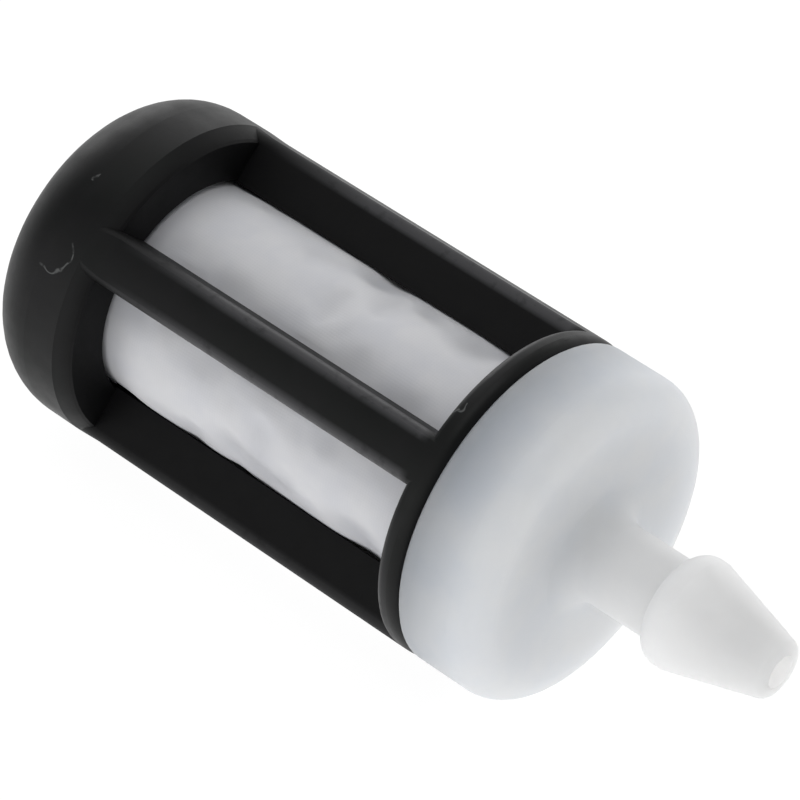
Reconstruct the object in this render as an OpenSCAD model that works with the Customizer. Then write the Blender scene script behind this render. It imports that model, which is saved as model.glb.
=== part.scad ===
// Pickup fuel filter for a small engine: a black cage around a fabric filter sleeve, closed by a
// white connector with a hose barb. The axis lies along X, the barb points to +X, and the origin is
// on the axis in the middle of the barb's largest diameter.

/* [Cage] */
// Outer diameter of the cage at its domed end
cage_d = 17; // [16:0.1:24]
// Length of the cage from its open ring to its domed end
cage_len = 27.3; // [26.5:0.1:40]
// Radius of the rounded edge of the domed end
dome_edge_r = 3.5; // [1:0.1:4]
// Length of the solid part at the domed end, measured on the outside
skirt_len = 5.4; // [4.5:0.1:8]
// Thickness of the domed end's wall
dome_wall = 1.8; // [1:0.1:2.5]
// Number of ribs between the domed end and the ring
rib_count = 4; // [3:1:6]
// Width of one rib
rib_w = 2.6; // [1.5:0.05:4]
// How far the ribs and the ring lie below the outside of the domed end
rib_inset = 0.06; // [0:0.01:0.3]
// Radius of the ribs' rounded outer edges
rib_edge_r = 0.6; // [0.1:0.05:0.7]
// Width of the ring at the open end
ring_w = 1.35; // [1.25:0.05:3]
// Diameter of the domed end's bore, around the sleeve
cage_bore_d = 11.9; // [11.8:0.1:13]
// Diameter between the inner faces of opposite ribs
rib_bore_d = 11.6; // [11.6:0.1:12.5]

/* [Connector] */
// Diameter of the connector's cap
cap_d = 16.85; // [16:0.05:23]
// Length of the cap from the ring to its end face
cap_len = 4.5; // [4:0.1:8]
// Radius of the cap's rounded shoulder
cap_edge_r = 1.55; // [0.2:0.05:2]
// Diameter of the stem between the cap and the barb
stem_d = 4.15; // [3.5:0.05:5]
// Length of the stem from the cap's end face to the back of the barb
stem_len = 4.55; // [3:0.05:8]
// Radius of the fillet at the foot of the stem
stem_fillet_r = 1.25; // [0.5:0.05:1.5]
// Largest diameter of the barb
barb_d = 5.65; // [5.2:0.05:6.5]
// Length of the barb
barb_len = 6.25; // [5:0.05:9]
// Radius of the barb's rounded back edge
barb_back_r = 0.95; // [0.3:0.05:1]
// Length of the cylindrical land at the barb's largest diameter
barb_land = 0.35; // [0.3:0.05:1]
// Diameter of the barb's tip
barb_tip_d = 2.9; // [2.6:0.05:3.4]
// Diameter of the fuel passage
passage_d = 1.7; // [1.2:0.05:1.8]

/* [Filter insert] */
// Outside diameter of the filter sleeve
sleeve_d = 11.3; // [11.2:0.05:11.5]
// Thickness of the sleeve's fabric
fabric_t = 0.3; // [0.1:0.05:0.4]
// Length of the insert inside the cage, measured from the cap
insert_len = 24.2; // [20:0.1:25]
// Rows of windows along the support core
core_rows = 3; // [1:1:4]
// Windows around the support core in each row
core_windows = 6; // [3:1:6]

/* [Hidden] */

$fn = 96;
// Overlap that keeps joined shapes from meeting in a bare plane
lap = 0.1;
// Radial room between parts that slide into each other
slide_gap = 0.1;
// Radial room between parts that are pushed together by hand
push_gap = 0.05;

// Places along X
cap_face_x = -(stem_len + barb_back_r + barb_land / 2);
ring_open_x = cap_face_x - cap_len;
ring_back_x = ring_open_x - ring_w;
dome_end_x = ring_open_x - cage_len;
skirt_edge_x = dome_end_x + skirt_len;
insert_end_x = ring_open_x - insert_len;
barb_back_x = cap_face_x + stem_len;
barb_land_x = barb_back_x + barb_back_r;
tip_x = barb_back_x + barb_len;

// Cage
cage_r = cage_d / 2;
cage_bore_r = cage_bore_d / 2;
rib_bore_r = rib_bore_d / 2;
lip_len = 0.7;
lip_depth = 0.42;
lip_edge = 0.12;
window_wall_x = skirt_edge_x + lip_len + lip_edge;
rib_r = cage_r - rib_inset;
rib_blend_len = 1.2;
ring_r = rib_r;
ring_back_edge_r = 0.4;
ring_open_edge_r = 0.65;
cavity_edge_r = 1;
boss_r = 2.5;
boss_gap = 0.15;
gate_r = 1.2;
gate_depth = 0.3;

// Connector
cap_r = cap_d / 2;
cap_base_edge = 0.15;
stem_r = stem_d / 2;
barb_r = barb_d / 2;
barb_tip_r = barb_tip_d / 2;
tip_edge_r = 0.45;
barb_half_angle = atan((barb_r - barb_tip_r) / (tip_x - barb_land_x - barb_land));
tip_setback = tip_edge_r * tan((90 - barb_half_angle) / 2);
passage_r = passage_d / 2;
funnel_len = 1.6;
skirt_depth = 1.3;
skirt_r = 6.85;
skirt_wall = 0.7;
pocket_floor_x = cap_face_x - 1.8;
spigot_r = 4.55;
spigot_bore_r = 3.4;
spigot_depth = 4.5;
spigot_floor_x = cap_face_x - 3;
socket_r = skirt_r + slide_gap;
socket_depth = skirt_depth + push_gap;

// Filter insert
sleeve_r = sleeve_d / 2;
sleeve_inner_r = sleeve_r - fabric_t;
sleeve_open_x = ring_open_x + 2;
core_r = sleeve_inner_r - push_gap;
core_bore_r = spigot_r + push_gap;
core_end_x = insert_end_x + fabric_t;
core_end_wall = 0.8;
core_window_w = 3.4;
core_window_edge_r = 0.6;
core_first_window_x = core_end_x + 1.8;
core_last_window_x = ring_open_x - spigot_depth - 0.6;
core_bar = 1.4;
felt_r = core_bore_r - slide_gap;
felt_gap = 0.2;
felt_hole_r = 1.2;
felt_hole_depth = 14;
clamp_r = skirt_r - skirt_wall - push_gap;
clamp_depth = 1.2;
clamp_len = 2.2;

// Turns a profile, drawn as [radius, place along X], about the X axis
module turned() {
    rotate([0, 90, 0])
        rotate_extrude()
            children();
}

// The sliver between a square corner at p and a circle that touches both of its sides. dir points
// from the corner to the circle. It rounds an outside corner when cut away, and fills an inside one
module corner(p, r, dir) {
    translate(p)
        facing(dir)
            difference() {
                translate([-lap, -lap])
                    square(r + lap);
                translate([r, r])
                    circle(r = r);
            }
}

// Turns a shape drawn in the first quadrant to the quadrant that dir points to
module facing(dir) {
    mirror([dir[0] < 0 ? 1 : 0, 0])
        mirror([0, dir[1] < 0 ? 1 : 0])
            children();
}

// Domed end: the end wall, the skirt and the sloping lip that the windows start from
module dome_profile() {
    difference() {
        polygon([
            [0, dome_end_x],
            [cage_r, dome_end_x],
            [cage_r, skirt_edge_x],
            [cage_r - lip_depth, window_wall_x - lip_edge],
            [cage_r - lip_depth - lip_edge, window_wall_x],
            [0, window_wall_x]
        ]);
        corner([cage_r, dome_end_x], dome_edge_r, [-1, 1]);
        cavity_profile();
        translate([0, dome_end_x - lap])
            square([gate_r, gate_depth + lap]);
    }
}

// Space inside the domed end, with a boss that stops the filter insert
module cavity_profile() {
    floor_x = dome_end_x + dome_wall;
    difference() {
        translate([0, floor_x])
            square([cage_bore_r, window_wall_x - floor_x + lap]);
        corner([cage_bore_r, floor_x], cavity_edge_r, [-1, 1]);
        translate([0, floor_x - lap])
            square([boss_r, insert_end_x - boss_gap - floor_x + lap]);
    }
}

// Ring at the open end, with a rounded outside
module ring_profile() {
    difference() {
        translate([socket_r, ring_back_x])
            square([ring_r - socket_r, ring_w]);
        corner([ring_r, ring_back_x], ring_back_edge_r, [-1, 1]);
        corner([ring_r, ring_open_x], ring_open_edge_r, [-1, -1]);
    }
}

// Section across a rib, drawn with its outer face up and its outer edges rounded to the outer circle
module rib_section() {
    half_w = rib_w / 2;
    edge_y = half_w - rib_edge_r;
    edge_reach = cage_r - rib_edge_r;
    edge_z = sqrt(edge_reach * edge_reach - edge_y * edge_y);
    fan = cage_r / edge_reach * [edge_y, edge_z];
    translate([-half_w, rib_bore_r - lap])
        square([rib_w, edge_z - rib_bore_r + lap]);
    for (side = [-1, 1])
        translate([side * edge_y, edge_z])
            circle(r = rib_edge_r);
    intersection() {
        circle(r = cage_r);
        polygon([
            [-edge_y, edge_z - lap],
            [edge_y, edge_z - lap],
            [edge_y, edge_z],
            2 * fan - [edge_y, edge_z],
            [-2 * fan[0] + edge_y, 2 * fan[1] - edge_z],
            [-edge_y, edge_z]
        ]);
    }
}

// Outer limit of the ribs, which rises to meet the domed end
module rib_limit_profile() {
    polygon([
        [0, skirt_edge_x - lap],
        [cage_r, skirt_edge_x - lap],
        [cage_r, skirt_edge_x],
        [rib_r, skirt_edge_x + rib_blend_len],
        [rib_r, ring_open_x - ring_w / 2],
        [0, ring_open_x - ring_w / 2]
    ]);
}

module rib() {
    start_x = skirt_edge_x - lap;
    translate([start_x, 0, 0])
        rotate([90, 0, 90])
            linear_extrude(ring_open_x - ring_w / 2 - start_x)
                rib_section();
}

// One moulding: domed end, ribs and ring
module cage() {
    color([0.07, 0.07, 0.075])
        difference() {
            union() {
                turned()
                    dome_profile();
                turned()
                    ring_profile();
                intersection() {
                    for (i = [0:rib_count - 1])
                        rotate([(i + 0.5) * 360 / rib_count, 0, 0])
                            rib();
                    turned()
                        rib_limit_profile();
                }
            }
            // Clear bore between the ribs for the filter insert
            translate([skirt_edge_x - 2 * lap, 0, 0])
                rotate([0, 90, 0])
                    cylinder(r = rib_bore_r, h = ring_open_x - skirt_edge_x + 3 * lap);
            // Socket for the connector's skirt
            translate([ring_open_x - socket_depth, 0, 0])
                rotate([0, 90, 0])
                    cylinder(r = socket_r, h = socket_depth + lap);
        }
}

// Outline of the barb, from its rounded back to its rounded tip
module barb_profile() {
    back_edge = [barb_r - barb_back_r, barb_land_x];
    tip_edge = [barb_tip_r - tip_setback, tip_x - tip_edge_r];
    polygon([
        [0, barb_back_x],
        [back_edge[0], barb_back_x],
        back_edge,
        [barb_r, barb_land_x],
        [barb_r, barb_land_x + barb_land],
        [barb_tip_r + tip_setback * sin(barb_half_angle), tip_x - tip_setback * cos(barb_half_angle)],
        tip_edge,
        [tip_edge[0], tip_x],
        [0, tip_x]
    ]);
    translate(back_edge)
        circle(r = barb_back_r);
    translate(tip_edge)
        circle(r = tip_edge_r);
}

// Solid outline of the connector, before its pocket and passage are cut
module connector_outline() {
    difference() {
        polygon([
            [0, ring_open_x],
            [cap_r - cap_base_edge, ring_open_x],
            [cap_r, ring_open_x + cap_base_edge],
            [cap_r, cap_face_x],
            [0, cap_face_x]
        ]);
        corner([cap_r, cap_face_x], cap_edge_r, [-1, -1]);
    }
    translate([0, ring_open_x - skirt_depth])
        square([skirt_r, skirt_depth + lap]);
    translate([0, ring_open_x - spigot_depth])
        square([spigot_r, spigot_depth + lap]);
    translate([0, cap_face_x - lap])
        square([stem_r, stem_len + barb_back_r + lap]);
    corner([stem_r, cap_face_x], stem_fillet_r, [1, 1]);
    barb_profile();
}

// Cap, stem, hose barb and the skirt and spigot that carry the filter insert: one moulding
module hose_connector() {
    color([0.9, 0.92, 0.92])
        turned()
            difference() {
                connector_outline();
                // Pocket that takes the ends of the core, the sleeve and the clamp ring
                translate([spigot_r, ring_open_x - skirt_depth - lap])
                    square([
                        skirt_r - skirt_wall - spigot_r,
                        pocket_floor_x - ring_open_x + skirt_depth + lap
                    ]);
                // Hollow spigot, which narrows in a funnel to the fuel passage
                polygon([
                    [0, ring_open_x - spigot_depth - lap],
                    [spigot_bore_r, ring_open_x - spigot_depth - lap],
                    [spigot_bore_r, spigot_floor_x - funnel_len],
                    [passage_r, spigot_floor_x],
                    [0, spigot_floor_x]
                ]);
                translate([0, spigot_floor_x - lap])
                    square([passage_r, tip_x - spigot_floor_x + 2 * lap]);
            }
}

// Window through the support core's wall, on the +Z side
module core_window(window_len) {
    depth = core_r - core_bore_r + 2;
    translate([0, 0, core_bore_r - 1])
        linear_extrude(depth)
            difference() {
                translate([0, -core_window_w / 2])
                    square([window_len, core_window_w]);
                for (end = [0, 1], side = [-1, 1])
                    corner([end * window_len, side * core_window_w / 2], core_window_edge_r,
                        [1 - 2 * end, -side]);
            }
}

// Windowed tube that keeps the sleeve from collapsing under suction, closed at its far end
module support_core() {
    window_pitch = (core_last_window_x - core_first_window_x + core_bar) / core_rows;
    color([0.86, 0.87, 0.85])
        difference() {
            turned()
                polygon([
                    [0, core_end_x],
                    [core_r, core_end_x],
                    [core_r, pocket_floor_x],
                    [core_bore_r, pocket_floor_x],
                    [core_bore_r, core_end_x + core_end_wall],
                    [0, core_end_x + core_end_wall]
                ]);
            for (row = [0:core_rows - 1], i = [0:core_windows - 1])
                translate([core_first_window_x + row * window_pitch, 0, 0])
                    rotate([i * 360 / core_windows, 0, 0])
                        core_window(window_pitch - core_bar);
        }
}

// Depth filter inside the core, with a blind hole towards the connector
module felt_insert() {
    start_x = core_end_x + core_end_wall;
    end_x = ring_open_x - spigot_depth - felt_gap;
    color([0.85, 0.83, 0.78])
        turned()
            polygon([
                [0, start_x],
                [felt_r, start_x],
                [felt_r, end_x],
                [felt_hole_r, end_x],
                [felt_hole_r, end_x - felt_hole_depth],
                [0, end_x - felt_hole_depth]
            ]);
}

// Fine woven sleeve around the core
module filter_sleeve() {
    color([0.78, 0.79, 0.8])
        turned()
            translate([sleeve_inner_r, core_end_x])
                square([fabric_t, sleeve_open_x - core_end_x]);
}

// Disc of the same fabric that closes the sleeve at the domed end
module sleeve_end_disc() {
    color([0.8, 0.81, 0.82])
        translate([insert_end_x, 0, 0])
            rotate([0, 90, 0])
                cylinder(r = sleeve_r, h = fabric_t);
}

// Thin ring that holds the sleeve's open end in the connector's pocket
module sleeve_clamp_ring() {
    color([0.88, 0.89, 0.88])
        turned()
            translate([sleeve_r + push_gap, ring_open_x - clamp_depth])
                square([clamp_r - sleeve_r - push_gap, clamp_len]);
}

cage();
hose_connector();
support_core();
felt_insert();
filter_sleeve();
sleeve_end_disc();
sleeve_clamp_ring();
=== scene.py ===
"""Looks for the pickup fuel filter: the CAD's cage, connector, core and clamp ring with moulded
materials, and the fabric sleeve, its end disc and the felt insert as pieces of their own."""

import math

import bpy
import numpy as np
from mathutils import Matrix, Vector, noise


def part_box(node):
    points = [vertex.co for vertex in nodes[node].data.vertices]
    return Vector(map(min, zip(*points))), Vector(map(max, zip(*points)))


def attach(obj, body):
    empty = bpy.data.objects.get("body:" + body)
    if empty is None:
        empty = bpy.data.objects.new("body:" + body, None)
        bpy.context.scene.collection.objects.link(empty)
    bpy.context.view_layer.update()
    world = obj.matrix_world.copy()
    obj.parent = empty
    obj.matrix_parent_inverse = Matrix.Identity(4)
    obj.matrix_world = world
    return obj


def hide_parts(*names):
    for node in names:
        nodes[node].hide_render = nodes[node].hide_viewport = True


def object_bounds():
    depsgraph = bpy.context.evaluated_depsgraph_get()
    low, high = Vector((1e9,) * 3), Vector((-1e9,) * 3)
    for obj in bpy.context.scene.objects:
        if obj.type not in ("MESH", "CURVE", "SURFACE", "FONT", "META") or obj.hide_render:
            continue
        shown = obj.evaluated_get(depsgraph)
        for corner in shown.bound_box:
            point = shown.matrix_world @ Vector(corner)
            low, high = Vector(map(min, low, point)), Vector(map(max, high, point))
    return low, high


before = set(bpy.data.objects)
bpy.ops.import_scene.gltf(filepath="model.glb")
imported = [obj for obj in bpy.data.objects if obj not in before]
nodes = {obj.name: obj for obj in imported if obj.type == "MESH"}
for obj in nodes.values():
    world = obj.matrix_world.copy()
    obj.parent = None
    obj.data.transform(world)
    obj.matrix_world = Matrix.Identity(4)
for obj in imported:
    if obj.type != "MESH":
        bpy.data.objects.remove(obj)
cad_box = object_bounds()

MM = 0.001
TURN = 2 * math.pi
SEED = 7

# Camera: a long lens on the barb's side of the filter, looking down at it
LENS_MM = 202.5
SENSOR_MM = 36
CAMERA_AZIMUTH = 39.95
CAMERA_ELEVATION = 42.3
CAMERA_ROLL = 3.29
CAMERA_DISTANCE = 209.2 * MM
AIM_OFFSET = Vector((-1.70, 0.20, 1.37)) * MM

# Stage: a glowing floor, a softbox overhead, and pale screens round it, each with the azimuth and
# elevation of its middle, how tightly its light is gathered there, and its strength
FLOOR_SIZE = 3.0
FLOOR_GLOW = 0.96
FLOOR_GREYS = (0.07, 0.08)
FLOOR_ROUGHNESS = (0.8, 0.9)
FLOOR_NOISE = (0.05, 2.0)
SOFTBOX_DISTANCE = 0.45
SOFTBOX_SIZE = 0.40
SOFTBOX_WATTS = 0.80
ROOM_GREY = 0.085
SCREENS = (
    (30, 12, 10, 1.3),
    (130, 12, 10, 1.3),
    (190, 8, 10, 1.6),
    (240, 8, 10, 2.5),
    (240, 45, 8, 0.35),
    (340, 12, 10, 1.7),
)

# Cage, as in the CAD
RIB_COUNT = 4
FIRST_RIB = math.radians(45)
RIB_OUTER_R = 8.44 * MM
RIB_HALF_W = 1.3 * MM
RIB_EDGE_R = 0.6 * MM
RING_BACK_X = -11.5 * MM
CAP_FACE_X = -5.675 * MM
DOME_BORE_R = 5.95 * MM
SKIRT_EDGE_X = -32.075 * MM
WINDOW_WALL_X = -31.255 * MM
CORE_R = 5.3 * MM

# Materials. Each NOISE is the size of its features, its detail and, where it isn't 0.5, its roughness.
# Each BUMP is the height of its relief and its strength. Pairs are the ends of a span of values, or the
# two looks that a noise varies between; a noise has most of its variation in NOISE_SPAN.
RISE = (0.0, 1.0)
FALL = (1.0, 0.0)
NOISE_SPAN = (0.3, 0.7)

# Black moulding
BLACK_SKIN = ((0.0032, 0.0039, 0.0037), (0.0050, 0.0050, 0.0055))
# Inside walls: painted shade, darker than the outer skin
BLACK_INSIDE_SHADE = (0.0010, 0.0010, 0.0013)
# Pale edge colour of the ribs and ring: painted highlight, along with edge wear
BLACK_WEAR_AND_HIGHLIGHT = (0.055, 0.055, 0.058)
BLACK_SCUFFED = (0.085, 0.088, 0.088)
BLACK_ROUGHNESS = (0.37, 0.45)
INSIDE_ROUGHER = 0.14
WEAR_AND_HIGHLIGHT_SMOOTHER = 0.12
GRAIN_ROUGHER = 0.08
DRIFT_NOISE = (4 * MM, 3.0)
DRIFT_SPAN = (0.35, 0.65)
FLOW_NOISE = (1.3 * MM, 2.0)
FLOW_BUMP = (0.03 * MM, 0.4)
GRAIN_NOISE = (0.09 * MM, 3.0, 0.6)
GRAIN_BUMP = (0.006 * MM, 0.6)
OUTER_SKIN_R = (RIB_OUTER_R - 0.35 * MM, RIB_OUTER_R - 0.05 * MM)
DOME_END_X = (SKIRT_EDGE_X - 0.1 * MM, SKIRT_EDGE_X + 0.1 * MM)

# Pale outer edges of the ribs, painted highlight where light catches them along with edge wear, which
# is less towards the domed end and on the lower ribs
RIB_WEAR_HIGHLIGHT_ASIDE = (RIB_HALF_W - RIB_EDGE_R, RIB_HALF_W - 0.5 * RIB_EDGE_R)
WEAR_HIGHLIGHT_R = (RIB_OUTER_R - RIB_EDGE_R, RIB_OUTER_R - 0.6 * RIB_EDGE_R)
RIB_WEAR_HIGHLIGHT_X = (SKIRT_EDGE_X + 1.5 * MM, SKIRT_EDGE_X + 8 * MM)
RIB_WEAR_HIGHLIGHT_END_X = (RING_BACK_X - 0.5 * MM, RING_BACK_X)
LOWER_RIB_WEAR_HIGHLIGHT = 0.2
RIB_HEIGHTS = (-3 * MM, 3 * MM)
RAGGED_NOISE = (0.5 * MM, 3.0)
RAGGED_SPAN = (0.25, 0.45)
RAGGED_LEAST = 0.55

# Pale back edge of the ring, painted highlight along with edge wear, which is less beside the ribs
RING_WEAR_HIGHLIGHT = 0.6
RING_WEAR_HIGHLIGHT_ASIDE = (RIB_HALF_W + 1 * MM, RIB_HALF_W + 4 * MM)
RING_WEAR_HIGHLIGHT_X = (RING_BACK_X - 1.0 * MM, RING_BACK_X - 0.5 * MM)
RING_WEAR_HIGHLIGHT_END_X = (RING_BACK_X + 0.1 * MM, RING_BACK_X + 0.7 * MM)

# Scuffs on the cage, in metres and degrees: place along the axis, angle round it, radius and half
# width of the arc, and the way it is open (0 is towards the barb)
SCUFFS = (
    (-33.5 * MM, 142.7, 0.90 * MM, 0.07 * MM, 215.0),
    (-33.8 * MM, 115.5, 0.14 * MM, 0.08 * MM, 0.0),
    (-11.2 * MM, 114.0, 0.26 * MM, 0.05 * MM, 200.0),
    (-11.2 * MM, 117.0, 0.20 * MM, 0.05 * MM, 30.0),
    (-19.3 * MM, 139.5, 0.08 * MM, 0.05 * MM, 120.0),
    (-35.6 * MM, -20.0, 0.60 * MM, 0.05 * MM, 240.0),
    (-15.4 * MM, -43.0, 0.45 * MM, 0.05 * MM, 310.0),
)
SCUFF_WAVER = 0.6 * MM
SCUFF_WAVER_NOISE = (SCUFF_WAVER, 0.5)
SCUFF_CORE = 0.3
SCUFF_OPENING = 0.35
SCUFF_BREAK_NOISE = (0.25 * MM, 2.0)
SCUFF_BREAK_SPAN = (0.38, 0.52)
SCUFF_FAINTEST = 0.25

# Milky moulding, of the connector: the cap's rim, darkened with painted shade beside the black ring,
# its face, and the stem and barb, lightened with painted light where the thin moulding glows
MILKY_RIM_SHADE = ((0.40, 0.43, 0.475), (0.445, 0.465, 0.495))
MILKY_FACE = ((0.835, 0.86, 0.90), (0.875, 0.89, 0.905))
MILKY_NECK_GLOW = ((0.89, 0.89, 0.89), (0.92, 0.92, 0.915))
RIM_SHADE_TO_FACE_X = (RING_BACK_X + 2 * MM, CAP_FACE_X + 1.5 * MM)
FACE_TO_NECK_GLOW_X = (CAP_FACE_X, CAP_FACE_X + 2.5 * MM)
MILKY_ROUGHNESS = (0.42, 0.5)
MILKY_NOISE = (3.2 * MM, 3.0)
MILKY_BUMP = (0.05 * MM, 0.35)
MILKY_GRAIN_NOISE = (0.12 * MM, 2.0)
MILKY_GRAIN_BUMP = (0.004 * MM, 0.5)

# Natural nylon, of the core and the clamp ring
NYLON_COLOURS = ((0.72, 0.68, 0.58), (0.78, 0.75, 0.66))
NYLON_ROUGHNESS = (0.34, 0.44)
NYLON_NOISE = (2.1 * MM, 3.0)
NYLON_GRAIN_NOISE = (0.15 * MM, 2.0)
NYLON_GRAIN_BUMP = (0.005 * MM, 0.5)

# Felt, with painted shade in the gaps between its fibres
FELT_COLOURS = ((0.56, 0.54, 0.48), (0.68, 0.66, 0.60))
FELT_GAP_SHADE = (0.40, 0.38, 0.33)
FELT_GAP_SHADE_SPAN = (0.3, 0.6)
FELT_GAP_SHADE_SHARE = 0.5
FELT_ROUGHNESS = (0.85, 0.95)
FIBRE_NOISE = (0.12 * MM, 5.0, 0.75)
FIBRE_BUMP = (0.1 * MM, 0.8)
FELT_NOISE = (1.1 * MM, 3.0)
FELT_BUMP = (0.15 * MM, 0.5)

# Sleeve: its radius where it is held, under the ribs and in the windows, and the most it may have
CLOTH_T = 0.14 * MM
CLOTH_CLEARANCE = 0.02 * MM
HELD_R = 5.62 * MM
UNDER_RIB_R = 5.73 * MM
WINDOW_R = 5.86 * MM
HELD_LIMIT = 5.65 * MM
UNDER_RIB_LIMIT = 5.77 * MM
WINDOW_LIMIT = 6.04 * MM
SOFT_LIMIT = 0.02 * MM
RIB_SHADOW = math.radians(14.2)
RIB_EASE = math.radians(16)
LIMIT_EASE = math.radians(4)
END_EASE = 2.7 * MM
DOME_EASE = 1.5 * MM
HELD_AT_DOME = 2.5 * MM
HELD_AT_CLAMP = 3.0 * MM
AROUND = 176
ALONG = 120

# Waves that the cloth starts with, all over it and more beside the ribs
BROAD_WAVES = {"count": 12, "shortest": 5 * MM, "longest": 12 * MM}
BROAD_HEIGHT = 0.025 * MM
RIB_WAVES = {"count": 8, "shortest": 2.5 * MM, "longest": 5 * MM}
RIB_WAVE_HEIGHT = 0.06 * MM
RIB_WAVE_REACH = 2.4 * RIB_SHADOW

# Where the cloth is drawn in beside the ribs: place along the axis, angle round it in degrees, reach
# along and around, and depth
TUCKS = (
    (-24.1 * MM, 73, 1.2 * MM, 0.6 * MM, 0.14 * MM),
    (-21.0 * MM, 68, 1.3 * MM, 0.7 * MM, 0.16 * MM),
    (-17.6 * MM, 69, 1.1 * MM, 0.6 * MM, 0.14 * MM),
    (-14.9 * MM, 70, 1.3 * MM, 1.1 * MM, 0.34 * MM),
    (-15.0 * MM, 124, 1.2 * MM, 0.8 * MM, 0.06 * MM),
    (-30.0 * MM, 158, 1.1 * MM, 1.0 * MM, 0.05 * MM),
    (-27.5 * MM, -160, 0.9 * MM, 0.6 * MM, 0.05 * MM),
    (-22.2 * MM, -162, 2.1 * MM, 1.2 * MM, 0.40 * MM),
    (-20.0 * MM, -158, 1.2 * MM, 0.8 * MM, 0.20 * MM),
    (-18.4 * MM, -163, 1.0 * MM, 0.5 * MM, 0.07 * MM),
    (-15.3 * MM, -162, 1.5 * MM, 1.2 * MM, 0.34 * MM),
)

# The sleeve's welded seam, under a rib
SEAM_ANGLE = math.radians(-45)
SEAM_HALF_W = 0.55 * MM
SEAM_FLAT_SHARE = 0.7
SEAM_HEIGHT = 0.09 * MM

# Filter fabric, with painted shade where it is drawn in towards the axis, but not over the spigot
FABRIC_COLOURS = ((0.695, 0.705, 0.755), (0.745, 0.75, 0.785))
FABRIC_PAINTED_SHADE = (0.44, 0.45, 0.48)
PAINTED_SHADE_R = (HELD_R - 0.12 * MM, WINDOW_R - 0.02 * MM)
PAINTED_SHADE_END_X = (RING_BACK_X - 2 * MM, RING_BACK_X - 0.8 * MM)
PAINTED_SHADE_SHARE = 0.5
# Painted shade in the weave's hollows: its grey, the span of weave height it covers, and its share
FABRIC_VALLEY_SHADE = (0.60, 0.61, 0.63)
VALLEY_SHADE_SPAN = (0.0, 0.5)
VALLEY_SHADE_SHARE = 0.22
FABRIC_ROUGHNESS = (0.75, 0.5)
WEAVE_PITCH = 0.15 * MM
WEAVE_BUMP = (0.012 * MM, 0.25)
PATCH_NOISE = (2.4 * MM, 3.0, 0.55)
PATCH_BUMP = (0.06 * MM, 0.3)

# Cloth simulation, on a copy 100 times as large, which the solver handles better
SIM_SCALE = 100
SIM_FRAMES = 30
SIM_GROWTH = 0.0012
SIM_PRESSURE = 0.3
SIM_UNDER_RIB_HOLD = 0.1
SIM_CLOTH = {
    "quality": 6,
    "mass": 0.2,
    "air_damping": 4,
    "tension_stiffness": 15,
    "compression_stiffness": 15,
    "shear_stiffness": 8,
    "bending_stiffness": 12,
}

# End disc: a thinner round of fabric, its turned-down cuff, and its pleats
DISC_T = 0.7 * CLOTH_T
CUFF_LEN = 1.3 * MM
CUFF_GAP = 0.06 * MM
CORNER_R = 0.35 * MM
INNERMOST_R = 0.4 * MM
FLAT_ROWS = 16
BEND_ROWS = 6
CUFF_ROWS = 9
PLEATS = 26
PLEAT_WAVES = 5
PLEAT_WAVE_SHARE = 1 / 3
PLEAT_VARIATION = 0.4
PLEATS_START = 0.45
CORNER_PLEAT = 0.035 * MM
CUFF_PLEAT = 0.05 * MM
FACE_SINK = 0.06 * MM
FACE_PLEAT = 0.05 * MM

# Felt insert
FELT_AROUND = 128
FELT_ALONG = 96
FELT_LUMPS = 0.035 * MM
FELT_LUMP_SIZE = 1.2 * MM
FELT_EDGE_R = 0.7 * MM


def smooth_step(low, high, value):
    """0 below low, 1 above high, and a smooth rise between them."""
    t = np.clip((value - low) / (high - low), 0, 1)
    return t * t * (3 - 2 * t)


def random_waves(rng, around, along, count, shortest, longest):
    """A smooth random field over the unrolled sheet that closes around the tube, with values that
    stay mostly between -1 and 1."""
    field = np.zeros(around.shape)
    for _ in range(count):
        wavelength = rng.uniform(shortest, longest)
        slant = rng.uniform(0, math.pi)
        turns = round(TURN * HELD_R * math.cos(slant) / wavelength)
        pitch = TURN * math.sin(slant) / wavelength
        field += np.sin(turns * around + pitch * along + rng.uniform(0, TURN))
    return field / math.sqrt(count)


# ---------------------------------------------------------------- materials


def feed(links, socket, value):
    """Links value to the socket if it is a socket itself, and otherwise sets it there."""
    if isinstance(value, bpy.types.NodeSocket):
        links.new(value, socket)
    else:
        socket.default_value = value


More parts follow.
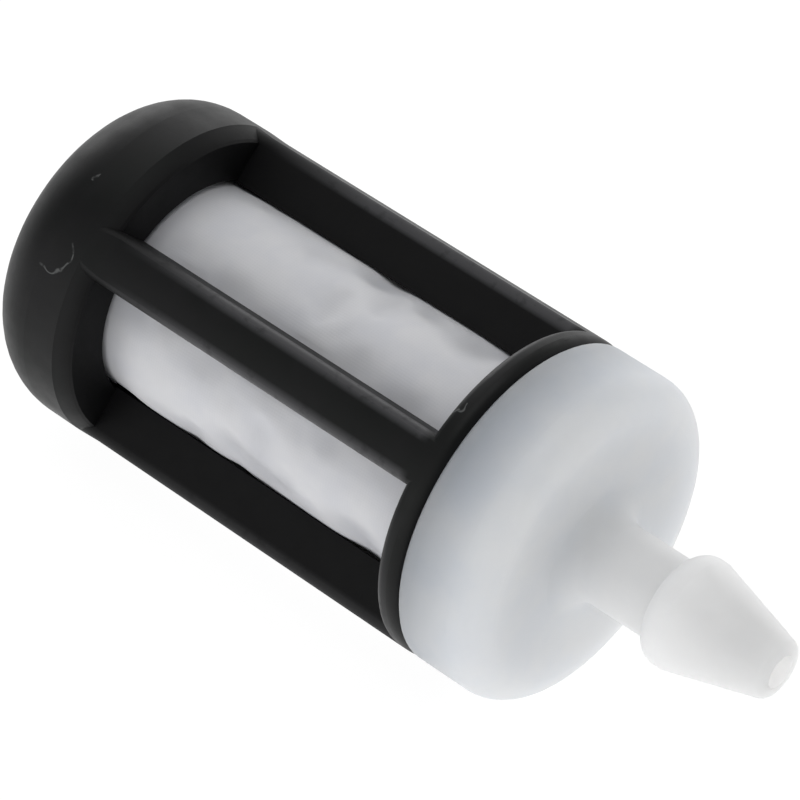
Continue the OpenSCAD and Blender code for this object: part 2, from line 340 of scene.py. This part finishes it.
class Shader:
    """A material being built: its node tree, its Principled shader and its place in the object."""

    def __init__(self, name, **uniform):
        self.material = bpy.data.materials.new(name)
        self.material.use_nodes = True
        self.nodes = self.material.node_tree.nodes
        self.links = self.material.node_tree.links
        self.surface = self.nodes["Principled BSDF"]
        self.place = self.add("ShaderNodeTexCoord").outputs["Object"]
        for socket, value in uniform.items():
            self.surface.inputs[socket.replace("_", " ")].default_value = value

    def add(self, kind, inputs=None, **settings):
        node = self.nodes.new(kind)
        for key, value in settings.items():
            setattr(node, key, value)
        for socket, value in (inputs or {}).items():
            feed(self.links, node.inputs[socket], value)
        return node

    def set(self, socket, value):
        feed(self.links, self.surface.inputs[socket], value)

    def math(self, operation, a, b=0.0, c=0.0):
        node = self.add("ShaderNodeMath", {0: a, 1: b, 2: c}, operation=operation)
        return node.outputs[0]

    def product(self, first, *others):
        for other in others:
            first = self.math("MULTIPLY", first, other)
        return first

    def vector(self, operation, a, b=(0.0, 0.0, 0.0)):
        """The result of a vector operation: a vector, or for LENGTH and DOT_PRODUCT a number."""
        node = self.add("ShaderNodeVectorMath", {0: a, 1: b}, operation=operation)
        return node.outputs["Value" if operation in ("LENGTH", "DOT_PRODUCT") else "Vector"]

    def place_parts(self):
        """The place's X, Y and Z, and its distance from the X axis."""
        x, y, z = self.add("ShaderNodeSeparateXYZ", {0: self.place}).outputs
        squares = self.math("ADD", self.math("MULTIPLY", y, y), self.math("MULTIPLY", z, z))
        return x, y, z, self.math("SQRT", squares)

    def noise(self, size, detail, roughness=0.5, output="Fac"):
        """Noise with features of about this size, in metres."""
        node = self.add(
            "ShaderNodeTexNoise",
            {"Vector": self.place, "Scale": 1 / size, "Detail": detail, "Roughness": roughness},
        )
        return node.outputs[output]

    def tones(self, value, pair, ends=NOISE_SPAN):
        """A smooth ramp between a pair of colours or greys, as value goes from one end to the other."""
        node = self.add("ShaderNodeValToRGB", {"Fac": value})
        node.color_ramp.interpolation = "EASE"
        for element, position, colour in zip(node.color_ramp.elements, ends, pair):
            element.position = position
            element.color = (*(colour if hasattr(colour, "__len__") else (colour,) * 3), 1)
        return node.outputs["Color"]

    def span(self, value, ends, results=RISE):
        """Maps a value between these ends straight to between the results, and holds it beyond."""
        limits = zip(("From Min", "From Max", "To Min", "To Max"), (*ends, *results))
        return self.add("ShaderNodeMapRange", {"Value": value, **dict(limits)}).outputs["Result"]

    def mix(self, share, a, b):
        node = self.add("ShaderNodeMix", data_type="RGBA")
        for socket, value in zip((0, 6, 7), (share, a, b)):
            if hasattr(value, "__len__") and len(value) == 3:
                value = (*value, 1)
            feed(self.links, node.inputs[socket], value)
        return node.outputs[2]

    def bump(self, height, distance, strength, below=None):
        node = self.add(
            "ShaderNodeBump", {"Height": height, "Distance": distance, "Strength": strength}
        )
        if below is not None:
            self.links.new(below, node.inputs["Normal"])
        return node.outputs["Normal"]


def scuff_lines(s):
    """A few thin pale arcs, such as a hard edge leaves on a moulding: part of a wavering circle round
    each place in SCUFFS."""
    waver = s.noise(*SCUFF_WAVER_NOISE, output="Color")
    shift = s.vector("MULTIPLY", s.vector("SUBTRACT", waver, (0.5,) * 3), (SCUFF_WAVER,) * 3)
    bent = s.vector("ADD", s.place, shift)
    marks = 0.0
    for x, angle, radius, half_width, open_towards in SCUFFS:
        a = math.radians(angle)
        centre = Vector((x, RIB_OUTER_R * math.cos(a), RIB_OUTER_R * math.sin(a)))
        b = math.radians(open_towards)
        opening = Vector((math.cos(b), -math.sin(b) * math.sin(a), math.sin(b) * math.cos(a)))
        away = s.vector("SUBTRACT", bent, centre)
        off_circle = s.math("ABSOLUTE", s.math("SUBTRACT", s.vector("LENGTH", away), radius))
        line = s.span(off_circle, (SCUFF_CORE * half_width, half_width), FALL)
        closed = s.span(s.vector("DOT_PRODUCT", away, opening), (-SCUFF_OPENING * radius, 0.0), FALL)
        marks = s.math("MAXIMUM", marks, s.product(line, closed))
    broken = s.span(s.noise(*SCUFF_BREAK_NOISE), SCUFF_BREAK_SPAN, (SCUFF_FAINTEST, 1.0))
    return s.product(marks, broken)


def edge_wear_and_highlight(s, x, y, z, radius):
    """The share from 0 to 1 of painted highlight and wear on the outer edges of the ribs and the ring's
    back edge.
    """
    sector = TURN / RIB_COUNT
    off_rib = s.math("SUBTRACT", s.math("FLOORED_MODULO", s.math("ARCTAN2", z, y), sector), FIRST_RIB)
    aside = s.math("ABSOLUTE", s.product(radius, s.math("SINE", off_rib)))
    outside = s.span(radius, WEAR_HIGHLIGHT_R)
    ragged = s.span(s.noise(*RAGGED_NOISE), RAGGED_SPAN, (RAGGED_LEAST, 1.0))
    upper = s.span(z, RIB_HEIGHTS, (LOWER_RIB_WEAR_HIGHLIGHT, 1.0))
    between = s.product(s.span(x, RIB_WEAR_HIGHLIGHT_X), s.span(x, RIB_WEAR_HIGHLIGHT_END_X, FALL))
    ribs = s.product(s.span(aside, RIB_WEAR_HIGHLIGHT_ASIDE), outside, between, ragged, upper)
    back_edge = s.product(s.span(x, RING_WEAR_HIGHLIGHT_X), s.span(x, RING_WEAR_HIGHLIGHT_END_X, FALL))
    ring = s.product(s.span(aside, RING_WEAR_HIGHLIGHT_ASIDE, (0.0, RING_WEAR_HIGHLIGHT)), back_edge, outside)
    return s.math("MAXIMUM", ribs, ring)


def black_nylon():
    """Satin black moulding: faint colour drift, fine grain, walls inside that its mould leaves rougher
    than its outer skin and that carry painted shade, pale edges of painted highlight and wear, and a
    few pale scuffs."""
    s = Shader("black_nylon", IOR=1.5, Specular_IOR_Level=0.19)
    x, y, z, radius = s.place_parts()
    wear_and_highlight = edge_wear_and_highlight(s, x, y, z, radius)
    skin = s.math("MAXIMUM", s.span(radius, OUTER_SKIN_R), s.span(x, DOME_END_X, FALL))
    skin = s.math("MAXIMUM", skin, wear_and_highlight)
    # Inside walls darker than the skin: painted shade in the cage's recesses
    colour = s.mix(skin, BLACK_INSIDE_SHADE, s.tones(s.noise(*DRIFT_NOISE), BLACK_SKIN, DRIFT_SPAN))
    # Pale rib and ring edges: painted highlight, along with edge wear
    colour = s.mix(wear_and_highlight, colour, BLACK_WEAR_AND_HIGHLIGHT)
    s.set("Base Color", s.mix(scuff_lines(s), colour, BLACK_SCUFFED))
    grain = s.noise(*GRAIN_NOISE)
    flow = s.noise(*FLOW_NOISE)
    satin = s.math("ADD", s.span(flow, NOISE_SPAN, BLACK_ROUGHNESS), s.product(grain, GRAIN_ROUGHER))
    satin = s.math("ADD", satin, s.span(skin, RISE, (INSIDE_ROUGHER, 0.0)))
    s.set("Roughness", s.math("MULTIPLY_ADD", wear_and_highlight, -WEAR_AND_HIGHLIGHT_SMOOTHER, satin))
    s.set("Normal", s.bump(flow, *FLOW_BUMP, s.bump(grain, *GRAIN_BUMP)))
    return s.material


def milky_polymer():
    """Natural milky moulding, which light scatters through, with faint cloudy patches, painted shade on
    the cap's rim and painted light on the stem and barb.
    """
    s = Shader(
        "milky_polymer",
        IOR=1.5,
        Subsurface_Weight=1.0,
        Subsurface_Radius=(1.0, 0.98, 0.96),
        Subsurface_Scale=6.0 * MM,
        Subsurface_Anisotropy=0.2,
    )
    x = s.place_parts()[0]
    clouds = s.noise(*MILKY_NOISE)
    # Rim darkened with painted shade, stem and barb lightened with painted light
    rim_shade, face, neck_glow = (s.tones(clouds, pair) for pair in (MILKY_RIM_SHADE, MILKY_FACE, MILKY_NECK_GLOW))
    cap_with_rim_shade = s.mix(s.span(x, RIM_SHADE_TO_FACE_X), rim_shade, face)
    s.set("Base Color", s.mix(s.span(x, FACE_TO_NECK_GLOW_X), cap_with_rim_shade, neck_glow))
    s.set("Roughness", s.span(clouds, NOISE_SPAN, MILKY_ROUGHNESS))
    soft = s.bump(clouds, *MILKY_BUMP)
    s.set("Normal", s.bump(s.noise(*MILKY_GRAIN_NOISE), *MILKY_GRAIN_BUMP, soft))
    return s.material


def natural_nylon():
    """The core's and clamp ring's natural nylon, yellower and a little shinier."""
    s = Shader(
        "natural_nylon",
        IOR=1.53,
        Subsurface_Weight=0.8,
        Subsurface_Radius=(1.0, 0.85, 0.6),
        Subsurface_Scale=0.9 * MM,
    )
    clouds = s.noise(*NYLON_NOISE)
    s.set("Base Color", s.tones(clouds, NYLON_COLOURS))
    s.set("Roughness", s.span(clouds, NOISE_SPAN, NYLON_ROUGHNESS))
    s.set("Normal", s.bump(s.noise(*NYLON_GRAIN_NOISE), *NYLON_GRAIN_BUMP))
    return s.material


def weave_height(s, u, v):
    """A plain weave over the coordinates u and v: each thread passes over one and under the next."""
    height = 0.0
    for along, across, phase in ((u, v, 0.5), (v, u, -0.5)):
        thread = s.product(along, math.pi / WEAVE_PITCH)
        row = s.math("FLOOR", s.math("DIVIDE", along, WEAVE_PITCH))
        lift = s.math("MULTIPLY_ADD", row, math.pi, s.product(across, math.pi / WEAVE_PITCH))
        over = s.math("MULTIPLY_ADD", s.math("SINE", lift), phase, 0.5)
        height = s.math("MAXIMUM", height, s.product(s.math("ABSOLUTE", s.math("SINE", thread)), over))
    return height


def filter_fabric(name, wrapped):
    """Fine white monofilament fabric. wrapped is True round the axis, where painted shade greys it if
    it is drawn in, and False flat across the axis."""
    s = Shader(
        name,
        IOR=1.5,
        Subsurface_Weight=0.7,
        Subsurface_Radius=(1.0, 1.0, 1.0),
        Subsurface_Scale=0.5 * MM,
        Sheen_Weight=0.15,
        Sheen_Roughness=0.4,
    )
    x, y, z, radius = s.place_parts()
    patches = s.noise(*PATCH_NOISE)
    tone = s.tones(patches, FABRIC_COLOURS)
    if wrapped:
        weave = weave_height(s, x, s.product(s.math("ARCTAN2", z, y), UNDER_RIB_R))
        # Greyer where the cloth lies drawn in towards the axis: painted shade in its dips and beside
        # the ribs
        painted_shade = s.product(s.span(radius, PAINTED_SHADE_R, FALL), s.span(x, PAINTED_SHADE_END_X, FALL))
        tone = s.mix(s.product(painted_shade, PAINTED_SHADE_SHARE), tone, FABRIC_PAINTED_SHADE)
    else:
        weave = weave_height(s, y, z)
    # Weave hollows greyed: painted shade between the threads
    s.set("Base Color", s.mix(s.span(weave, VALLEY_SHADE_SPAN, (VALLEY_SHADE_SHARE, 0.0)), tone, FABRIC_VALLEY_SHADE))
    s.set("Roughness", s.span(weave, RISE, FABRIC_ROUGHNESS))
    s.set("Normal", s.bump(weave, *WEAVE_BUMP, s.bump(patches, *PATCH_BUMP)))
    return s.material


def wool_felt():
    """Off-white needled felt: tangled fibres with painted shade in the gaps between them, and soft
    lumps.
    """
    s = Shader("felt", IOR=1.45, Sheen_Weight=0.5, Sheen_Roughness=0.5)
    fibres = s.noise(*FIBRE_NOISE)
    lumps = s.noise(*FELT_NOISE)
    gap_shade = s.span(fibres, FELT_GAP_SHADE_SPAN, (FELT_GAP_SHADE_SHARE, 0.0))
    # Gaps between fibres greyed: painted shade
    s.set("Base Color", s.mix(gap_shade, s.tones(lumps, FELT_COLOURS), FELT_GAP_SHADE))
    s.set("Roughness", s.span(fibres, NOISE_SPAN, FELT_ROUGHNESS))
    s.set("Normal", s.bump(fibres, *FIBRE_BUMP, s.bump(lumps, *FELT_BUMP)))
    return s.material


def light_table():
    """The white floor, lit from within like a light table, so that it shows hardly any shadow."""
    s = Shader("floor_white", Emission_Color=(1, 1, 1, 1), Emission_Strength=FLOOR_GLOW)
    mottle = s.noise(*FLOOR_NOISE)
    s.set("Base Color", s.tones(mottle, FLOOR_GREYS))
    s.set("Roughness", s.span(mottle, NOISE_SPAN, FLOOR_ROUGHNESS))
    return s.material


# ---------------------------------------------------------------- meshes


def new_piece(name, mesh_data, material):
    """An object of the insert's body, smooth-shaded, with its material."""
    points, faces = mesh_data
    mesh = bpy.data.meshes.new(name)
    mesh.from_pydata(points, [], faces)
    mesh.polygons.foreach_set("use_smooth", [True] * len(mesh.polygons))
    mesh.materials.append(material)
    mesh.update()
    piece = bpy.data.objects.new(name, mesh)
    bpy.context.scene.collection.objects.link(piece)
    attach(piece, "insert")
    return piece


def thicken(piece, thickness):
    """Gives a sheet its thickness, towards the axis."""
    thick = piece.modifiers.new("thickness", "SOLIDIFY")
    thick.thickness = thickness
    thick.offset = -1


def ring_points(x, radius, angle):
    """Points round the X axis from rows of x and radius, in the order of their rows."""
    grid = [x + 0 * radius, radius * np.cos(angle), radius * np.sin(angle)]
    return np.stack(grid, axis=2).reshape(-1, 3)


def band_faces(rows, around, flipped=False):
    """Faces between neighbouring rings of points. flipped turns them over."""
    faces = []
    for i in range(rows - 1):
        for j in range(around):
            this, after = i * around + j, i * around + (j + 1) % around
            faces.append((this, after, after + around, this + around))
    return [(a, d, c, b) for a, b, c, d in faces] if flipped else faces


def tube_grid(x, radius, closed_ends=False):
    """Points and faces of a tube round X: x by row, radius by row and angle. With closed_ends, a
    point on the axis closes each end."""
    rows, around = radius.shape
    angle = np.arange(around) * (TURN / around)
    points = ring_points(x[:, None], radius, angle)
    faces = band_faces(rows, around)
    if closed_ends:
        first, last = len(points), len(points) + 1
        points = np.vstack([points, [[x[0], 0, 0], [x[-1], 0, 0]]])
        end = (rows - 1) * around
        faces += [(first, (j + 1) % around, j) for j in range(around)]
        faces += [(last, end + j, end + (j + 1) % around) for j in range(around)]
    return points, faces


def turned_from(angle, middle):
    """The angle from middle to each angle, by the shorter way round."""
    return (angle - middle + math.pi) % TURN - math.pi


def rib_distance(angle):
    """The angle from each point to the middle of the nearest rib."""
    step = TURN / RIB_COUNT
    return np.abs((angle - FIRST_RIB + step / 2) % step - step / 2)


def sleeve_room(angle, x, ease, low_x, high_x):
    """Two shares from 0 to 1 of the room that the cloth has: one low under the ribs, which eases out
    beside them, and one low outside low_x to high_x."""
    open_share = smooth_step(RIB_SHADOW, RIB_SHADOW + ease, rib_distance(angle))
    ends = smooth_step(low_x, low_x + END_EASE, x) * (1 - smooth_step(high_x - END_EASE, high_x, x))
    return open_share, ends


def simulate_cloth(points, faces, held):
    """The sheet after its cloth has grown against what holds it, which leaves it softly creased."""
    mesh = bpy.data.meshes.new("sim")
    mesh.from_pydata(points * SIM_SCALE, [], faces)
    sim = bpy.data.objects.new("sim", mesh)
    bpy.context.scene.collection.objects.link(sim)
    group = sim.vertex_groups.new(name="held")
    for index, weight in enumerate(held):
        if weight > 0:
            group.add([index], float(weight), "REPLACE")
    cloth = sim.modifiers.new("cloth", "CLOTH")
    for name, value in SIM_CLOTH.items():
        setattr(cloth.settings, name, value)
    cloth.settings.shrink_min = -SIM_GROWTH
    cloth.settings.use_pressure = True
    cloth.settings.uniform_pressure_force = SIM_PRESSURE
    cloth.settings.vertex_group_mass = "held"
    cloth.settings.effector_weights.gravity = 0
    cloth.collision_settings.use_collision = False
    cloth.point_cache.frame_end = SIM_FRAMES
    for step in range(1, SIM_FRAMES + 1):
        bpy.context.scene.frame_set(step)
    settled = sim.evaluated_get(bpy.context.evaluated_depsgraph_get()).to_mesh()
    out = np.zeros(len(points) * 3)
    settled.vertices.foreach_get("co", out)
    sim.to_mesh_clear()
    bpy.data.objects.remove(sim)
    bpy.data.meshes.remove(mesh)
    bpy.context.scene.frame_set(1)
    return out.reshape(-1, 3) / SIM_SCALE


def kept_between(value, low, high, softness):
    """value held below high with a soft knee, and then above low."""
    knee = np.clip((high - value) / softness, -30, 30)
    return np.maximum(high - softness * np.log1p(np.exp(knee)), low)


def tuck_depth(angle, x):
    """How far the tucks draw the cloth in at each place."""
    depth = np.zeros(angle.shape)
    for place, turn, reach_along, reach_around, most in TUCKS:
        along = (x - place) / reach_along
        around = turned_from(angle, math.radians(turn)) * HELD_R / reach_around
        depth += most * np.exp(-(along**2) - around**2)
    return depth


def fit_in_cage(points, free):
    """Draws the tucks in, welds the seam, and keeps the cloth off the core and inside the cage."""
    x = points[:, 0]
    reach = np.hypot(points[:, 1], points[:, 2])
    turn = np.arctan2(points[:, 2], points[:, 1])
    open_share, ends = sleeve_room(turn, x, LIMIT_EASE, *free)
    limit = UNDER_RIB_LIMIT + open_share * (WINDOW_LIMIT - UNDER_RIB_LIMIT)
    limit = HELD_LIMIT + ends * (limit - HELD_LIMIT)
    in_dome = 1 - smooth_step(WINDOW_WALL_X, WINDOW_WALL_X + DOME_EASE, x)
    limit -= in_dome * np.maximum(limit - (DOME_BORE_R - CLOTH_CLEARANCE), 0)
    least = CORE_R + CLOTH_T + CLOTH_CLEARANCE
    kept = kept_between(reach - tuck_depth(turn, x) * ends, least, limit, SOFT_LIMIT)
    off_seam = np.abs(turned_from(turn, SEAM_ANGLE)) * HELD_R
    seam = 1 - smooth_step(SEAM_FLAT_SHARE * SEAM_HALF_W, SEAM_HALF_W, off_seam)
    kept = np.minimum(kept + seam * ends * SEAM_HEIGHT, np.maximum(limit, least))
    points[:, 1:] *= (kept / reach)[:, None]


def sleeve_mesh():
    """The fabric tube: held at both ends, softly creased where the windows are, and welded along a
    seam under one rib."""
    low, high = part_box("filter_sleeve")
    low_x, high_x = low.x + CLOTH_CLEARANCE, high.x - CLOTH_CLEARANCE
    free = (low_x + HELD_AT_DOME, high_x - HELD_AT_CLAMP)
    rng = np.random.default_rng(SEED)
    x = np.linspace(low_x, high_x, ALONG)
    around, along = np.meshgrid(np.arange(AROUND) * (TURN / AROUND), x)
    open_share, ends = sleeve_room(around, along, RIB_EASE, *free)
    room = UNDER_RIB_R - HELD_R + open_share * (WINDOW_R - UNDER_RIB_R)
    broad = random_waves(rng, around, along, **BROAD_WAVES) * BROAD_HEIGHT
    by_rib = 1 - smooth_step(RIB_SHADOW, RIB_WAVE_REACH, rib_distance(around))
    waves = broad + by_rib * random_waves(rng, around, along, **RIB_WAVES) * RIB_WAVE_HEIGHT
    points, faces = tube_grid(x, HELD_R + ends * (room + waves))
    held = np.maximum(1 - ends, (1 - open_share) * SIM_UNDER_RIB_HOLD)
    points = simulate_cloth(points, faces, held.ravel())
    fit_in_cage(points, free)
    return points, faces


def make_sleeve(material):
    """The fabric tube round the core, as a sheet rolled from a rectangle."""
    sleeve = new_piece("filter_fabric", sleeve_mesh(), material)
    smoother = sleeve.modifiers.new("finer", "SUBSURF")
    smoother.levels = smoother.render_levels = 1
    thicken(sleeve, CLOTH_T)
    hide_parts("filter_sleeve")


def end_disc_mesh():
    """A round of fabric across the sleeve's end, with its edge turned down over the sleeve in
    small pleats."""
    low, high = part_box("sleeve_end_disc")
    rng = np.random.default_rng(SEED + 1)
    cuff_r = high.y + CUFF_GAP
    bend_r = cuff_r - CORNER_R
    flat_rows = [(0, r) for r in np.linspace(INNERMOST_R, bend_r, FLAT_ROWS)]
    bend_rows = [
        (CORNER_R * (1 - math.cos(t)), bend_r + CORNER_R * math.sin(t))
        for t in np.linspace(0, math.pi / 2, BEND_ROWS + 1)[1:]
    ]
    cuff_rows = [(CORNER_R + s, cuff_r) for s in np.linspace(0, CUFF_LEN, CUFF_ROWS + 1)[1:]]
    rows = np.array(flat_rows + bend_rows + cuff_rows)
    depth, radius = rows[:, :1], rows[:, 1:]
    angle = np.arange(AROUND) * (TURN / AROUND)
    pleat = np.zeros(AROUND)
    for _ in range(PLEAT_WAVES):
        count = round(rng.uniform(1 - PLEAT_VARIATION, 1 + PLEAT_VARIATION) * PLEATS)
        pleat += np.sin(count * angle + rng.uniform(0, TURN)) * PLEAT_WAVE_SHARE
    share = smooth_step(PLEATS_START * cuff_r, cuff_r, radius)
    on_cuff = smooth_step(CORNER_R, CORNER_R + CUFF_LEN, depth)
    out = radius + pleat * (CORNER_PLEAT + CUFF_PLEAT * on_cuff) * share
    sunk = (FACE_SINK + FACE_PLEAT * pleat) * share * (depth < CORNER_R / 2)
    face_x = low.x + CLOTH_CLEARANCE
    points = ring_points(face_x + depth + sunk, out, angle)
    faces = band_faces(len(rows), AROUND, flipped=True)
    centre = len(points)
    points = np.vstack([points, [[face_x, 0, 0]]])
    faces += [(centre, j, (j + 1) % AROUND) for j in range(AROUND)]
    return points, faces


def make_end_disc(material):
    """The pleated round of fabric that closes the sleeve at the domed end."""
    disc = new_piece("end_fabric", end_disc_mesh(), material)
    thicken(disc, DISC_T)
    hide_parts("sleeve_end_disc")


def make_felt(material):
    """A needled felt roll with soft ends, a little lumpy, inside the core."""
    low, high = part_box("felt_insert")
    full_r = high.z
    middle, half_len = (low.x + high.x) / 2, (high.x - low.x) / 2
    x = middle + half_len * np.sin(np.linspace(-1, 1, FELT_ALONG) * math.pi / 2)
    into_edge = np.clip(FELT_EDGE_R - half_len + np.abs(x - middle), 0, FELT_EDGE_R)
    rounding = FELT_EDGE_R - np.sqrt(FELT_EDGE_R**2 - into_edge**2)
    angle = np.arange(FELT_AROUND) * (TURN / FELT_AROUND)
    radius = np.repeat((full_r - 2 * FELT_LUMPS - rounding)[:, None], FELT_AROUND, axis=1)
    for i, px in enumerate(x):
        for j, a in enumerate(angle):
            here = Vector((px, full_r * math.cos(a), full_r * math.sin(a))) / FELT_LUMP_SIZE
            radius[i, j] += 2 * FELT_LUMPS * noise.noise(here)
    felt = new_piece("felt_roll", tube_grid(x, radius, closed_ends=True), material)
    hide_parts("felt_insert")


# ---------------------------------------------------------------- scene


def set_material(node_name, material):
    """Puts the material in every slot of a CAD object."""
    for slot in nodes[node_name].material_slots:
        slot.material = material


def direction(azimuth, elevation):
    """The way out from the filter at an azimuth and elevation in degrees; azimuth 0 is the -Y side."""
    a, e = math.radians(azimuth), math.radians(elevation)
    return Vector((math.sin(a) * math.cos(e), -math.cos(a) * math.cos(e), math.sin(e)))


def make_camera():
    """The camera, aimed near the middle of the filter."""
    low, high = cad_box
    back = direction(CAMERA_AZIMUTH, CAMERA_ELEVATION)
    data = bpy.data.cameras.new("camera")
    data.lens = LENS_MM
    data.sensor_width = SENSOR_MM
    data.clip_start = CAMERA_DISTANCE / 10
    camera = bpy.data.objects.new("camera", data)
    bpy.context.scene.collection.objects.link(camera)
    upright = (-back).to_track_quat("-Z", "Y").to_matrix()
    roll = Matrix.Rotation(math.radians(CAMERA_ROLL), 3, "Z")
    aim = (low + high) / 2 + AIM_OFFSET
    camera.matrix_world = Matrix.Translation(aim + back * CAMERA_DISTANCE) @ (upright @ roll).to_4x4()
    bpy.context.scene.camera = camera


def make_softbox():
    """A square area light overhead."""
    data = bpy.data.lights.new("softbox", "AREA")
    data.size = SOFTBOX_SIZE
    data.energy = SOFTBOX_WATTS
    light = bpy.data.objects.new("softbox", data)
    bpy.context.scene.collection.objects.link(light)
    light.location = (cad_box[0] + cad_box[1]) / 2 + Vector((0, 0, SOFTBOX_DISTANCE))


def make_room():
    """A grey studio with soft screens round the filter, bright in the middle and fading outwards."""
    world = bpy.data.worlds.new("studio")
    bpy.context.scene.world = world
    world.use_nodes = True
    shaders, links = world.node_tree.nodes, world.node_tree.links

    def add(kind, operation, inputs):
        node = shaders.new(kind)
        node.operation = operation
        for socket, value in inputs.items():
            feed(links, node.inputs[socket], value)
        return node

    way = shaders.new("ShaderNodeTexCoord").outputs["Generated"]
    light = ROOM_GREY
    for azimuth, elevation, tightness, strength in SCREENS:
        facing = add("ShaderNodeVectorMath", "DOT_PRODUCT", {0: way, 1: direction(azimuth, elevation)})
        ahead = add("ShaderNodeMath", "MAXIMUM", {0: facing.outputs["Value"], 1: 0.0})
        falloff = add("ShaderNodeMath", "POWER", {0: ahead.outputs[0], 1: tightness})
        screen = {0: falloff.outputs[0], 1: strength, 2: light}
        light = add("ShaderNodeMath", "MULTIPLY_ADD", screen).outputs[0]
    links.new(light, shaders["Background"].inputs["Color"])


def make_stage():
    """The glowing floor, the room and the softbox."""
    half = FLOOR_SIZE / 2
    z = cad_box[0].z
    corners = [(-half, -half, z), (half, -half, z), (half, half, z), (-half, half, z)]
    mesh = bpy.data.meshes.new("floor")
    mesh.from_pydata(corners, [], [(0, 1, 2, 3)])
    mesh.materials.append(light_table())
    floor = bpy.data.objects.new("floor", mesh)
    bpy.context.scene.collection.objects.link(floor)
    make_room()
    make_softbox()
    bpy.context.scene.view_settings.view_transform = "Standard"


set_material("cage", black_nylon())
set_material("hose_connector", milky_polymer())
core_material = natural_nylon()
set_material("support_core", core_material)
set_material("sleeve_clamp_ring", core_material)
make_sleeve(filter_fabric("sleeve_fabric", True))
make_end_disc(filter_fabric("end_fabric", False))
make_felt(wool_felt())
make_stage()
make_camera()
